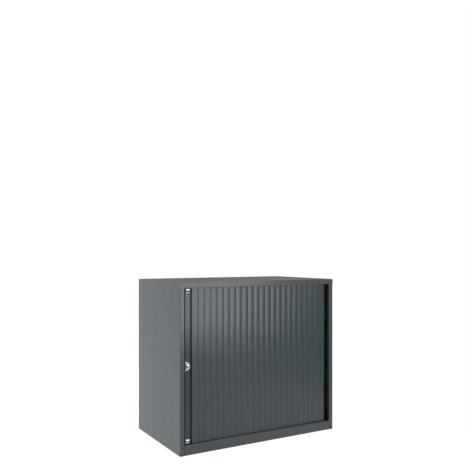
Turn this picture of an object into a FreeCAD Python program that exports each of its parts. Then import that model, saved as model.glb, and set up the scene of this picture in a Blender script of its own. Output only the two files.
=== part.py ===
import FreeCAD, Part
import math
import os
import re

import Sketcher

# A low sheet steel cabinet with a side-opening roll front of upright slats.
# Millimetres, +X to the right, +Y to the back, +Z up, with the origin on the
# floor under the middle of the cabinet. The front faces -Y.

SIZES = {
    # Outside of the cabinet and its folded sheet
    "width": 800, "depth": 470, "height": 716,
    "gauge": 1, "fold_radius": 2, "edge_break": 0.8, "seam": 0.3,
    # Returns of the side panels, and the two rails between them
    "stile_width": 20, "left_return": 26, "right_return": 14, "rear_return": 20,
    "top_rail": 24, "bottom_rail": 42, "rail_return": 10, "foot_return": 20,
    # Double bottom, and the liners that keep the goods off the roll front
    "base_rise": 26, "base_flange": 20, "floor_rise": 41, "liner_gap": 35,
    "liner_setback": 35, "liner_return": 12, "liner_flange": 14,
    # Tracks
    "hinge_inset": 17.4, "corner_radius": 35, "back_run": 250, "track_width": 12,
    "groove_width": 5.6, "bottom_track": 12, "top_track": 18, "bottom_groove": 7,
    "top_groove": 9, "stop_length": 10,
    # Slats of the roll front
    "pitch": 30.4, "joint_gap": 0.7, "slat_edge": 2.6, "slat_back": 2.6, "slat_crown": 1,
    "slat_bevel": 1.6, "slat_land": 0.2, "slat_lift": 1.5, "slat_cover": 3.5,
    "pin_radius": 2.4, "pin_clearance": 0.4,
    # Leading stile, its end caps and glides
    "door_gap": 5.4, "door_setback": 7, "door_width": 20.8, "door_depth": 18, "door_wall": 1.6,
    "door_edge": 1.5, "door_foot": 3, "door_head": 2, "recess": 14.3, "recess_lip": 1.6,
    "cap_height": 21, "cap_rise": 6.5, "glide_grip": 20, "glide_fit": 0.1,
    "glide_length": 16, "glide_gauge": 4.8,
    # Lock
    "rosette_radius": 19.5, "rosette_height": 37, "rosette_rise": 6.5, "rosette_shift": 5.8,
    "plug_radius": 5.5, "plug_fit": 0.1, "plug_sink": 1.6, "key_width": 2, "key_height": 7,
    "key_depth": 5, "lock_radius": 6.8, "lock_length": 13, "nut_radius": 8.6, "nut_length": 3,
    "tail_side": 5, "cam_gap": 0.3, "cam_gauge": 2, "cam_width": 9, "cam_reach": 23,
    "hook_width": 3, "hook_angle": 24, "cam_clearance": 0.8,
    "keeper_gauge": 1.5, "keeper_height": 64, "keeper_width": 12,
    # Closing buffers
    "buffer_rise": 5, "buffer_radius": 4, "buffer_drop": 80,
    # Shelf, its strips and clips. The shelf slot is the one that the clips hook into, counted
    # up from the lowest slot, and sets the height of the shelf
    "shelf_slot": 12, "shelf_set": 5, "shelf_skirt": 25, "shelf_lip": 10, "shelf_play": 1,
    "strip_width": 16, "strip_depth": 4, "strip_inset": 85, "strip_head": 10,
    "slot_width": 9, "slot_height": 10, "slot_pitch": 25, "slot_foot": 16,
    "clip_width": 8, "clip_gauge": 2, "clip_tab": 16, "clip_leg": 16, "clip_tongue": 4,
    "clip_hook": 2, "clip_fit": 0.3,
    # Levelling feet
    "foot_inset": 60, "pad_radius": 15, "pad_height": 4, "cone_height": 4,
    "stem_radius": 4, "stem_top": 36, "thread_fit": 0.2, "foot_nut": 8, "foot_nut_height": 7,
    # Length by which every cut runs past what it cuts
    "overrun": 5,
}

SLATS = 25
AXES = {"x": FreeCAD.Vector(1, 0, 0), "y": FreeCAD.Vector(0, 1, 0), "z": FreeCAD.Vector(0, 0, 1)}
WORD = re.compile("[a-z][a-z_]*")
FUNCTIONS = ("sqrt", "floor")

doc = FreeCAD.newDocument("RollFrontCabinet")
sheet = doc.addObject("Spreadsheet::Sheet", "Sizes")
for row, (alias, size) in enumerate(SIZES.items(), start=1):
    sheet.set(f"A{row}", alias)
    sheet.set(f"B{row}", str(size))
    sheet.setAlias(f"B{row}", alias)
doc.recompute()
sub_parts = []


def named(text):
    """The text as an expression that looks each size up in the sheet."""
    return WORD.sub(lambda word: word[0] if word[0] in FUNCTIONS else "Sizes." + word[0], text)


def number(text):
    """What the text comes to with the sheet's sizes."""
    plain = WORD.sub(lambda word: word[0] if word[0] in FUNCTIONS else str(sheet.get(word[0])), text)
    return FreeCAD.Units.Quantity(plain).Value


def keep(part, label):
    """Keep the part, under its label, as one of the cabinet's own pieces."""
    part.Label = label
    sub_parts.append(part)
    return part


def place(part, x, y, z):
    """Put a part's own origin at a place."""
    for letter, text in zip("xyz", (x, y, z)):
        part.setExpression(f"Placement.Base.{letter}", named(text))
    return part


def block(name, x, y, z):
    """A rectangular block between two places along each axis."""
    part = doc.addObject("Part::Box", name)
    for (start, end), side in zip((x, y, z), ("Length", "Width", "Height")):
        part.setExpression(side, named(f"({end}) - ({start})"))
    return place(part, x[0], y[0], z[0])


def post(name, radius, at, span, axis="z"):
    """A round post along the named axis: its place across it, and its span along it."""
    part = doc.addObject("Part::Cylinder", name)
    part.setExpression("Radius", named(radius))
    part.setExpression("Height", named(f"({span[1]}) - ({span[0]})"))
    base = list(at)
    base.insert("xyz".index(axis), span[0])
    part.Placement.Rotation = FreeCAD.Rotation(AXES["z"], AXES[axis])
    return place(part, *base)


def join(name, parts):
    """The parts fused together."""
    fused = doc.addObject("Part::MultiFuse", name)
    fused.Shapes = parts
    fused.Refine = True
    return fused


def group(name, parts):
    """Separate solids that share one piece's name."""
    together = doc.addObject("Part::Compound", name)
    together.Links = parts
    return together


def cut(name, base, tools):
    """The base with the tools taken out of it."""
    part = doc.addObject("Part::Cut", name)
    part.Base = base
    part.Tool = tools[0] if len(tools) == 1 else group(name + "_cuts", tools)
    part.Refine = True
    return part


def hold(sketch, kind, geometry, point, text):
    """Hold one measure of a sketch to sizes in the sheet."""
    places = (geometry,) if point is None else (geometry, point)
    index = sketch.addConstraint(Sketcher.Constraint(kind, *places, number(text)))
    sketch.setExpression(f"Constraints[{index}]", named(text))


def arc_between(start, end, side, radius):
    """The smaller arc from start to end that bulges to the right (out) or to the left (in)."""
    chord = end - start
    left = FreeCAD.Vector(-chord.y, chord.x, 0).normalize()
    rise = math.sqrt(max(radius ** 2 - (chord.Length / 2) ** 2, 0))
    centre = (start + end) / 2 + left * (rise if side == "out" else -rise)
    ends = (start, end) if side == "out" else (end, start)
    angles = [math.atan2(point.y - centre.y, point.x - centre.x) for point in ends]
    return Part.ArcOfCircle(Part.Circle(centre, AXES["z"], radius), *angles)


def draw(sketch, outline):
    """A closed outline, anticlockwise, from its corners. Each corner has its two places, and
    where an arc leaves it, the arc's bulge and radius as well."""
    spots = [FreeCAD.Vector(number(corner[0]), number(corner[1]), 0) for corner in outline]
    first = sketch.GeometryCount
    ends = [(2, 1) if "in" in corner[2:] else (1, 2) for corner in outline]
    for corner, start, end in zip(outline, spots, spots[1:] + spots[:1]):
        if len(corner) == 2:
            sketch.addGeometry(Part.LineSegment(start, end), False)
        else:
            sketch.addGeometry(arc_between(start, end, corner[2], number(corner[3])), False)
    for index, corner in enumerate(outline):
        side, before = first + index, first + (index - 1) % len(outline)
        start, finish = ends[index][0], ends[index - 1][1]
        sketch.addConstraint(Sketcher.Constraint("Coincident", before, finish, side, start))
        hold(sketch, "DistanceX", side, start, corner[0])
        hold(sketch, "DistanceY", side, start, corner[1])
        if len(corner) > 2:
            hold(sketch, "Radius", side, None, corner[3])


def origin_feature(body, role):
    """The plane or axis of the body's own origin that has this role."""
    return next(part for part in body.Origin.OriginFeatures if part.Role == role)


def sketch_on(body, name, plane, outlines):
    """A sketch of closed outlines on one of the body's own origin planes."""
    sketch = body.newObject("Sketcher::SketchObject", name)
    sketch.AttachmentSupport = [(origin_feature(body, plane + "_Plane"), "")]
    sketch.MapMode = "FlatFace"
    for outline in outlines:
        draw(sketch, outline)
    return sketch


def extruded(name, plane, outlines, start, end):
    """A body of one steady section, run from start to end along Z (XY) or X (YZ)."""
    body = doc.addObject("PartDesign::Body", name)
    section = sketch_on(body, name + "_section", plane, outlines)
    pad = body.newObject("PartDesign::Pad", name + "_run")
    pad.Profile = section
    pad.setExpression("Length", named(f"({end}) - ({start})"))
    body.setExpression("Placement.Base." + {"XY": "z", "YZ": "x"}[plane], named(start))
    return body


def moved(spot, step, amount):
    """A spot moved by an amount along a step of one unit."""
    signs = {-1: " - ", 0: None, 1: " + "}
    return tuple(text + (f"{signs[way]}({amount})" if way else "") for text, way in zip(spot, step))


def folded(line):
    """The outline of a sheet folded square, from the places of one of its faces. The sheet
    lies on the left of that line, and each fold has its outer and its inner radius."""
    spots = [(number(x), number(y)) for x, y in line]
    steps = [[(b > a) - (b < a) for a, b in zip(*ends)] for ends in zip(spots, spots[1:])]
    lefts = [(-y, x) for x, y in steps]
    near, far = [line[0]], [moved(line[0], lefts[0], "gauge")]
    for index, corner in enumerate(line[1:-1]):
        before, after = steps[index], steps[index + 1]
        bends = [("out", "fold_radius"), ("in", "fold_radius - gauge")]
        if before[0] * after[1] < before[1] * after[0]:
            bends.reverse()
        behind = moved(moved(corner, lefts[index], "gauge"), lefts[index + 1], "gauge")
        back = [-step for step in before]
        near += [moved(corner, back, bends[0][1]) + bends[0], moved(corner, after, bends[0][1])]
        far += [moved(behind, back, bends[1][1]), moved(behind, after, bends[1][1]) + bends[1]]
    return near + [line[-1], moved(line[-1], lefts[-1], "gauge")] + far[::-1]


def rectangle(x, y, radius=None):
    """A rectangle between two places each way, with round corners where a radius is given."""
    if radius is None:
        return [(x[0], y[0]), (x[1], y[0]), (x[1], y[1]), (x[0], y[1])]
    bend = ("out", radius)
    ends_x = (f"{x[0]} + {radius}", f"{x[1]} - {radius}")
    ends_y = (f"{y[0]} + {radius}", f"{y[1]} - {radius}")
    return [(ends_x[0], y[0]), (ends_x[1], y[0]) + bend, (x[1], ends_y[0]), (x[1], ends_y[1]) + bend,
            (ends_x[1], y[1]), (ends_x[0], y[1]) + bend, (x[0], ends_y[1]), (x[0], ends_y[0]) + bend]


# Outside faces of the cabinet
left, right = "-width / 2", "width / 2"
front, back = "-depth / 2", "depth / 2"
roof = "height - gauge"

# Left side panel: one sheet folded into skin, front stile, inner return and rear return,
# with a slot in the inner return for the hook of the lock. Both side panels are notched at
# the top, where the top rail passes over their stiles
stile_left, stile_right = f"{left} + stile_width", f"{right} - stile_width"
lock_x = f"{stile_left} + door_gap + door_width / 2"
lock_z = "(bottom_rail + door_foot + height - top_rail - door_head) / 2"
face_y = f"{front} + door_setback"
cam_front = f"{face_y} + lock_length + cam_gap"
cam_back = f"{cam_front} + cam_gauge"
cam_slot_y = (f"{cam_front} - cam_clearance", f"{cam_back} + cam_clearance")
cam_slot_top = f"{lock_z} + cam_width / 2 + cam_clearance"


def cam_slot(name, x, distance):
    """The slot that the hook swings through, in a wall at a distance from the lock's axis."""
    fall = f"sqrt(cam_reach * cam_reach - ({distance}) * ({distance}))"
    return block(name, x, cam_slot_y, (f"{lock_z} - {fall} - cam_clearance", cam_slot_top))


def rail_notch(name, x):
    """The room that the top rail needs in a side panel."""
    return block(name, x, (f"{front} - overrun", f"{front} + gauge + seam"),
                 ("height - top_rail - seam", f"{roof} + overrun"))


keeper_x = (f"{stile_left} - gauge - keeper_gauge", f"{stile_left} - gauge")
return_reach = "door_width / 2 + door_gap"
left_skin = extruded("left_skin", "XY", [folded([
    (f"{left} + rear_return", back), (left, back), (left, front),
    (stile_left, front), (stile_left, f"{front} + left_return")])], "0", roof)
return_slot_x = (f"{stile_left} - gauge - seam", f"{stile_left} + seam")
keep(cut("left_side", left_skin, [
    cam_slot("return_slot", return_slot_x, return_reach),
    rail_notch("left_notch", (f"{left} - overrun", f"{stile_left} + seam"))]), "left_side_panel")

# Keeper plate, spot welded behind the slot to stiffen it
keeper_back = f"{front} + left_return - gauge"
keeper = block("keeper_blank", keeper_x, (f"{keeper_back} - keeper_width", keeper_back),
               (f"{lock_z} - keeper_height / 2", f"{lock_z} + keeper_height / 2"))
keeper_slot_x = (f"{keeper_x[0]} - overrun", f"{keeper_x[1]} + overrun")
keep(cut("keeper", keeper, [cam_slot("keeper_slot", keeper_slot_x, return_reach)]), "keeper_plate")

# Rubber buffers on the inner return, which the door closes on
buffer_y = f"{face_y} + door_depth / 2"
buffers = []
for name, height in (("lower_buffer", "bottom_rail + buffer_drop"),
                     ("upper_buffer", "height - top_rail - buffer_drop")):
    buffers.append(post(name, "buffer_radius", (buffer_y, height),
                        (stile_left, f"{stile_left} + buffer_rise"), "x"))
keep(group("buffers", buffers), "closing_buffers")

# Right side panel: the left one mirrored, with a shorter inner return, so that the slats
# turn the corner behind it
right_skin = extruded("right_skin", "XY", [folded([
    (stile_right, f"{front} + right_return"), (stile_right, front), (right, front),
    (right, back), (f"{right} - rear_return", back)])], "0", roof)
right_notch = rail_notch("right_notch", (f"{stile_right} - seam", f"{right} + overrun"))
keep(cut("right_side", right_skin, [right_notch]), "right_side_panel")

# Top panel: a flat sheet over both side panels, with the top rail folded down in front. The
# rail's face runs on over the stiles, and its lower return ends between them
rail_ends = (f"{stile_left} + seam", f"{stile_right} - seam")
roof_sheet = extruded("roof_sheet", "XY", [rectangle((left, right), (front, back), "fold_radius")],
                      roof, "height")
roof_edges = doc.addObject("Part::Chamfer", "roof_edges")
doc.recompute()
rim = [(index, number("edge_break"), number("edge_break"))
       for index, edge in enumerate(roof_sheet.Shape.Edges, start=1)
       if edge.BoundBox.ZMin > number("height - gauge / 2")]
roof_edges.Base = roof_sheet
roof_edges.Edges = rim
front_fold = extruded("front_fold", "YZ", [folded([
    (front, roof), (front, "height - top_rail"), (f"{front} + rail_return", "height - top_rail")])],
    *rail_ends)
rear_fold = block("rear_fold", (f"{left} + rear_return + seam", f"{right} - rear_return - seam"),
                  (f"{back} - gauge", back), ("height - top_rail", roof))
rail_face = (f"{front}", f"{front} + gauge"), ("height - top_rail", roof)
left_ear = block("left_ear", (left, rail_ends[0]), *rail_face)
right_ear = block("right_ear", (rail_ends[1], right), *rail_face)
keep(join("roof", [roof_edges, front_fold, left_ear, right_ear, rear_fold]), "top_panel")

# Bottom rail: a folded channel between the stiles, down to the floor, with a tab at each end
# that is spot welded to the stile's inner return
channel = extruded("plinth", "YZ", [folded([
    (f"{front} + rail_return", "bottom_rail"), (front, "bottom_rail"), (front, "0"),
    (f"{front} + foot_return", "0")])], *rail_ends)
tab_ends = (f"{rail_ends[0]} + gauge", f"{rail_ends[1]} - gauge")
tab_face = (f"{front} + fold_radius", f"{front} + rail_return"), ("0", "bottom_rail")
keep(join("lower_rail", [channel, block("left_tab", (rail_ends[0], tab_ends[0]), *tab_face),
                         block("right_tab", (tab_ends[1], rail_ends[1]), *tab_face)]), "bottom_rail")

# Base panel: the deck that carries tracks, liners and feet, with its edges turned down and
# spot welded to the side panels
deck_top = "base_rise + gauge"
skins = (f"{left} + gauge", f"{right} - gauge")
deck_y = (f"{front} + left_return", f"{back} - 2 * gauge")
deck_z = ("base_rise", deck_top)
flange_z = ("base_rise - base_flange", deck_top)
foot_x = (f"{left} + foot_inset", f"{right} - foot_inset")
foot_y = (f"{front} + foot_inset", f"{back} - foot_inset")
corners = [(x, y) for x in foot_x for y in foot_y]
deck = join("deck_blank", [
    block("deck", skins, deck_y, deck_z),
    block("deck_front", (f"{tab_ends[0]} + seam", f"{tab_ends[1]} - seam"),
          (f"{front} + gauge", deck_y[0]), deck_z),
    block("deck_left", (skins[0], f"{skins[0]} + gauge"), deck_y, flange_z),
    block("deck_right", (f"{skins[1]} - gauge", skins[1]), deck_y, flange_z),
    block("deck_rear", skins, (f"{deck_y[1]} - gauge", deck_y[1]), flange_z)])
holes = [post(f"foot_hole_{index}", "stem_radius + thread_fit", corner,
              (f"{deck_z[0]} - overrun", f"{deck_z[1]} + overrun"))
         for index, corner in enumerate(corners, start=1)]
keep(cut("base", deck, holes), "base_panel")

# Levelling feet: turned steel, with a round pad at rest on the floor and a stem that is
# screwed up through a nut under the deck
nut_z = ("base_rise - foot_nut_height", "base_rise")
nuts = []
for index, (x, y) in enumerate(corners, start=1):
    cone = doc.addObject("Part::Cone", f"foot_cone_{index}")
    cone.setExpression("Radius1", named("pad_radius"))
    cone.setExpression("Radius2", named("stem_radius"))
    cone.setExpression("Height", named("cone_height"))
    place(cone, x, y, "pad_height")
    pad = post(f"foot_pad_{index}", "pad_radius", (x, y), ("0", "pad_height"))
    stem = post(f"foot_stem_{index}", "stem_radius", (x, y), ("pad_height", "stem_top"))
    keep(join(f"foot_{index}", [pad, cone, stem]), f"levelling_foot_{index}")
    hexagon = doc.addObject("Part::Prism", f"nut_blank_{index}")
    hexagon.Polygon = 6
    hexagon.setExpression("Circumradius", named("foot_nut"))
    hexagon.setExpression("Height", named(f"({nut_z[1]}) - ({nut_z[0]})"))
    place(hexagon, x, y, nut_z[0])
    thread = post(f"nut_thread_{index}", "stem_radius + thread_fit", (x, y),
                  (f"{nut_z[0]} - overrun", f"{nut_z[1]} + overrun"))
    nuts.append(cut(f"nut_{index}", hexagon, [thread]))
keep(group("nuts", nuts), "foot_nuts")

# Back panel: a flat sheet behind the rear returns of the side panels
keep(block("back_sheet", (f"{left} + fold_radius", f"{right} - fold_radius"),
           (f"{back} - 2 * gauge", f"{back} - gauge"), (flange_z[0], roof)), "back_panel")

# Liners: a side and a back sheet that leave a slot for the opened roll front, and the floor
# of the cupboard, all standing on the deck
liner_x = f"{right} - liner_gap - gauge"
liner_back = f"{back} - liner_gap"
liner_front = f"{front} + liner_setback"
keep(extruded("side_liner", "XY", [folded([
    (liner_x, liner_back), (liner_x, liner_front),
    (f"{liner_x} - liner_return", liner_front)])], deck_top, roof), "inner_side_panel")
keep(extruded("back_liner", "XY", [folded([
    (skins[0], f"{liner_back} + liner_flange"), (skins[0], liner_back),
    (f"{liner_x} + gauge", liner_back)])], deck_top, roof), "inner_back_panel")
floor_front = f"{liner_front} + gauge"
keep(extruded("cupboard_floor", "YZ", [folded([
    (liner_back, deck_top), (liner_back, "floor_rise"), (floor_front, "floor_rise"),
    (floor_front, deck_top)])], skins[0], liner_x), "floor_panel")

# Tracks: a grooved plastic strip under and over the roll front. It runs straight behind the
# front, round the right-hand corners and back along the rear, as far as the open door needs
hinge_front, hinge_back = f"{front} + hinge_inset", f"{back} - hinge_inset"
hinge_side = f"{right} - hinge_inset"
bend_x = f"{right} - hinge_inset - corner_radius"
bend_front, bend_back = f"{hinge_front} + corner_radius", f"{hinge_back} - corner_radius"
track_start, track_end = f"{stile_left} + seam", f"{bend_x} - back_run"


def track_band(half, start, end):
    """The plan of a band of this half width along the route of the hinges."""
    outer, inner = ("out", f"corner_radius + {half}"), ("in", f"corner_radius - {half}")
    return [(start, f"{hinge_front} - {half}"), (bend_x, f"{hinge_front} - {half}") + outer,
            (f"{hinge_side} + {half}", bend_front), (f"{hinge_side} + {half}", bend_back) + outer,
            (bend_x, f"{hinge_back} + {half}"), (end, f"{hinge_back} + {half}"),
            (end, f"{hinge_back} - {half}"), (bend_x, f"{hinge_back} - {half}") + inner,
            (f"{hinge_side} - {half}", bend_back), (f"{hinge_side} - {half}", bend_front) + inner,
            (bend_x, f"{hinge_front} + {half}"), (start, f"{hinge_front} + {half}")]


track_top = f"{deck_top} + bottom_track"
track_under = f"{roof} - top_track"
groove_floor, groove_roof = f"{track_top} - bottom_groove", f"{track_under} + top_groove"
stops = []
for name, body_z, groove_z, open_z in (
        ("bottom", (deck_top, track_top), (groove_floor, track_top),
         (groove_floor, f"{track_top} + overrun")),
        ("top", (track_under, roof), (track_under, groove_roof),
         (f"{track_under} - overrun", groove_roof))):
    band = track_band("track_width / 2", track_start, track_end)
    strip = extruded(name + "_strip", "XY", [band], *body_z)
    groove = extruded(name + "_groove", "XY", [track_band(
        "groove_width / 2", f"{track_start} - overrun", f"{track_end} - overrun")], *open_z)
    keep(cut(name + "_rail_track", strip, [groove]), name + "_track")
    stops.append(block(name + "_stop", (track_end, f"{track_end} + stop_length"),
                       (f"{hinge_back} - groove_width / 2", f"{hinge_back} + groove_width / 2"), groove_z))
keep(group("end_stops", stops), "track_stops")

# Slats: gently crowned strips, bevelled behind so that they can turn the corner, each with
# a pin at both ends that follows the groove. The hinge line is the section's own origin
slat_low = f"{track_top} + slat_lift"
slat_high = "height - top_rail + slat_cover"
pin_low, pin_high = f"{groove_floor} + pin_clearance", f"{groove_roof} - pin_clearance"
slat_left, slat_right = "joint_gap / 2", "pitch - joint_gap / 2"
half_face = "(pitch - joint_gap) / 2"
crown_radius = f"(({half_face}) * ({half_face}) + slat_crown * slat_crown) / (2 * slat_crown)"
slat_section = [
    (slat_left, "-slat_edge", "out", crown_radius), (slat_right, "-slat_edge"), (slat_right, "-slat_land"),
    (f"{slat_right} - slat_bevel", "slat_back"), (f"{slat_left} + slat_bevel", "slat_back"),
    (slat_left, "-slat_land")]


def route(distance):
    """The spot on the hinges' route this far past the start of its first bend, and it may be
    negative, which is before it."""
    radius, turn = number("corner_radius"), number("corner_radius") * math.pi / 2
    bend = FreeCAD.Vector(number(bend_x), number(bend_front), 0)
    if distance < 0:
        return bend + FreeCAD.Vector(distance, -radius, 0)
    if distance < turn:
        angle = distance / radius
        return bend + FreeCAD.Vector(math.sin(angle), -math.cos(angle), 0) * radius
    return bend + FreeCAD.Vector(radius, distance - turn, 0)


def next_hinge(distance):
    """How far along the route the hinge lies that is one pitch from the hinge at distance."""
    pitch, here = number("pitch"), route(distance)
    near, far = distance, distance + 2 * pitch
    while far - near > number("seam") / 1e6:
        middle = (near + far) / 2
        near, far = (middle, far) if (route(middle) - here).Length < pitch else (near, middle)
    return far


first_hinge = f"{stile_left} + door_gap + door_width + recess"
distance = number(f"({first_hinge}) - ({bend_x})")
for index in range(1, SLATS + 1):
    strip = extruded(f"slat_strip_{index}", "XY", [slat_section], slat_low, slat_high)
    pins = [post(f"slat_foot_{index}", "pin_radius", ("pitch", "0"), (pin_low, slat_low)),
            post(f"slat_head_{index}", "pin_radius", ("pitch", "0"), (slat_high, pin_high))]
    slat = keep(join(f"slat_{index}", [strip] + pins), f"tambour_slat_{index:02d}")
    spot = route(distance)
    distance = next_hinge(distance)
    slat.Placement = FreeCAD.Placement(spot, FreeCAD.Rotation(AXES["x"], route(distance) - spot))

# Leading stile of the door: a hollow drawn section, with a web behind the finger recess
# that ends in a lip beside the first slat
door_x = (f"{stile_left} + door_gap", f"{stile_left} + door_gap + door_width")
door_y = (face_y, f"{face_y} + door_depth")
door_z = ("bottom_rail + door_foot", "height - top_rail - door_head")
web_end = f"{first_hinge} - joint_gap / 2"
web_y, lip_x = f"{door_y[1]} - door_wall", f"{web_end} - door_wall"
lip_y = f"{hinge_front} - recess_lip"
bend = ("out", "door_edge")
stile_outline = [
    (f"{door_x[0]} + door_edge", door_y[0]), (f"{door_x[1]} - door_edge", door_y[0]) + bend,
    (door_x[1], f"{door_y[0]} + door_edge"), (door_x[1], web_y), (lip_x, web_y), (lip_x, lip_y),
    (web_end, lip_y), (web_end, door_y[1]), (door_x[0], door_y[1]),
    (door_x[0], f"{door_y[0]} + door_edge") + bend]
hollow_x = (f"{door_x[0]} + door_wall", f"{door_x[1]} - door_wall")
hollow_y = (f"{door_y[0]} + door_wall", f"{door_y[1]} - door_wall")
stile = extruded("stile_section", "XY", [stile_outline, rectangle(hollow_x, hollow_y)], *door_z)
lock_hole = post("lock_hole", "lock_radius", (lock_x, lock_z),
                 (f"{door_y[0]} - overrun", f"{hollow_y[0]} + seam"), "y")
hook_hole = cam_slot("hook_hole", (f"{door_x[0]} - overrun", f"{hollow_x[0]} + seam"),
                     "door_width / 2 - door_wall")
keep(cut("stile", stile, [lock_hole, hook_hole]), "door_stile")

# End caps: chromed half barrels on the ends of the stile's face
cap_radius = "(cap_height * cap_height / 4 + cap_rise * cap_rise) / (2 * cap_rise)"
for name, low, high in (("lower_end_cap", door_z[0], f"{door_z[0]} + cap_height"),
                        ("upper_end_cap", f"{door_z[1]} - cap_height", door_z[1])):
    barrel_section = [(face_y, high, "out", cap_radius), (face_y, low)]
    keep(extruded(name + "_barrel", "YZ", [barrel_section], *door_x), name)

# Glides: plastic plugs in the stile's ends, with a tongue that runs in the groove
glide_x = (f"{hollow_x[0]} + glide_fit", f"{hollow_x[1]} - glide_fit")
glide_y = (f"{hollow_y[0]} + glide_fit", f"{hollow_y[1]} - glide_fit")
tongue_x = (f"{lock_x} - glide_length / 2", f"{lock_x} + glide_length / 2")
tongue_y = (f"{hinge_front} - glide_gauge / 2", f"{hinge_front} + glide_gauge / 2")
for name, plug_z, tongue_z in (
        ("lower_glide", (door_z[0], f"{door_z[0]} + glide_grip"), (pin_low, door_z[0])),
        ("upper_glide", (f"{door_z[1]} - glide_grip", door_z[1]), (door_z[1], pin_high))):
    keep(join(name + "_body", [block(name + "_plug", glide_x, glide_y, plug_z),
                               block(name + "_tongue", tongue_x, tongue_y, tongue_z)]), name)

# Lock rosette: a chromed dome on the stile's face, straight along the stile's left edge, round
# on the right where it stands out over the finger recess, and bored for the plug
dome_x = f"{lock_x} - rosette_shift"
dome = doc.addObject("Part::Ellipsoid", "rosette_dome")
for radius, size in (("Radius1", "rosette_height / 2"), ("Radius2", "rosette_radius"),
                     ("Radius3", "rosette_rise")):
    dome.setExpression(radius, named(size))
place(dome, dome_x, face_y, lock_z)
dome_ends = (f"{dome_x} - rosette_radius - overrun", f"{dome_x} + rosette_radius + overrun")
dome_front = f"{face_y} - rosette_rise - overrun"
dome_z = (f"{lock_z} - rosette_height", f"{lock_z} + rosette_height")
behind = block("rosette_behind", dome_ends, (face_y, f"{face_y} + rosette_rise + overrun"), dome_z)
beside = block("rosette_beside", (dome_ends[0], door_x[0]), (dome_front, f"{face_y} + overrun"), dome_z)
rosette_bore = post("rosette_bore", "plug_radius + plug_fit", (lock_x, lock_z),
                    (dome_front, f"{face_y} + overrun"), "y")
keep(cut("rosette", dome, [behind, beside, rosette_bore]), "lock_rosette")

# Lock body: a round zinc barrel through the stile's face, with a ring nut behind it
lock_back = f"{face_y} + lock_length"
barrel = post("lock_barrel", "lock_radius", (lock_x, lock_z), (face_y, lock_back), "y")
lock_bore = post("lock_bore", "plug_radius + plug_fit", (lock_x, lock_z),
                 (f"{face_y} - overrun", f"{lock_back} + overrun"), "y")
keep(cut("lock_shell", barrel, [lock_bore]), "lock_body")
ring_y = (hollow_y[0], f"{hollow_y[0]} + nut_length")
ring = post("ring_blank", "nut_radius", (lock_x, lock_z), ring_y, "y")
ring_bore = post("ring_bore", "lock_radius", (lock_x, lock_z),
                 (f"{ring_y[0]} - overrun", f"{ring_y[1]} + overrun"), "y")
keep(cut("ring", ring, [ring_bore]), "lock_nut")

# Lock plug: a turned cylinder with a key slot in front and a square tail behind
plug_y = (f"{front} + plug_sink", cam_front)
plug = post("plug_round", "plug_radius", (lock_x, lock_z), plug_y, "y")
tail = block("plug_tail", (f"{lock_x} - tail_side / 2", f"{lock_x} + tail_side / 2"), (cam_front, cam_back),
             (f"{lock_z} - tail_side / 2", f"{lock_z} + tail_side / 2"))
key_slot = block("key_slot", (f"{lock_x} - key_width / 2", f"{lock_x} + key_width / 2"),
                 (f"{front} - overrun", f"{plug_y[0]} + key_depth"),
                 (f"{lock_z} - key_height / 2", f"{lock_z} + key_height / 2"))
keep(cut("plug", join("plug_blank", [plug, tail]), [key_slot]), "lock_plug")

# Lock cam: a flat arm on the plug's tail. It hangs down when unlocked, and turns through
# the slots to the left, where the hook at its tip stands up behind the keeper
disc = post("cam_disc", "cam_reach", (lock_x, lock_z), (cam_front, cam_back), "y")
arm = doc.addObject("Part::Common", "cam_arm")
arm.Base = disc
arm.Tool = block("cam_bar", (f"{lock_x} - cam_width / 2", f"{lock_x} + cam_width / 2"),
                 (cam_front, cam_back), (f"{lock_z} - cam_reach", f"{lock_z} + cam_width / 2"))
sector = post("hook_sector", "cam_reach", (lock_x, lock_z), (cam_front, cam_back), "y")
sector.setExpression("Angle", named("hook_angle"))
downward = FreeCAD.Rotation(AXES["z"], 90)
sector.Placement.Rotation = FreeCAD.Rotation(AXES["z"], AXES["y"]).multiply(downward)
hook_bore = post("hook_bore", "cam_reach - hook_width", (lock_x, lock_z),
                 (f"{cam_front} - overrun", f"{cam_back} + overrun"), "y")
hook = cut("hook", sector, [hook_bore])
tail_hole = block("tail_hole", (f"{lock_x} - tail_side / 2", f"{lock_x} + tail_side / 2"),
                  (f"{cam_front} - overrun", f"{cam_back} + overrun"),
                  (f"{lock_z} - tail_side / 2", f"{lock_z} + tail_side / 2"))
keep(cut("cam", join("cam_blank", [arm, hook]), [tail_hole]), "lock_cam")

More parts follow.
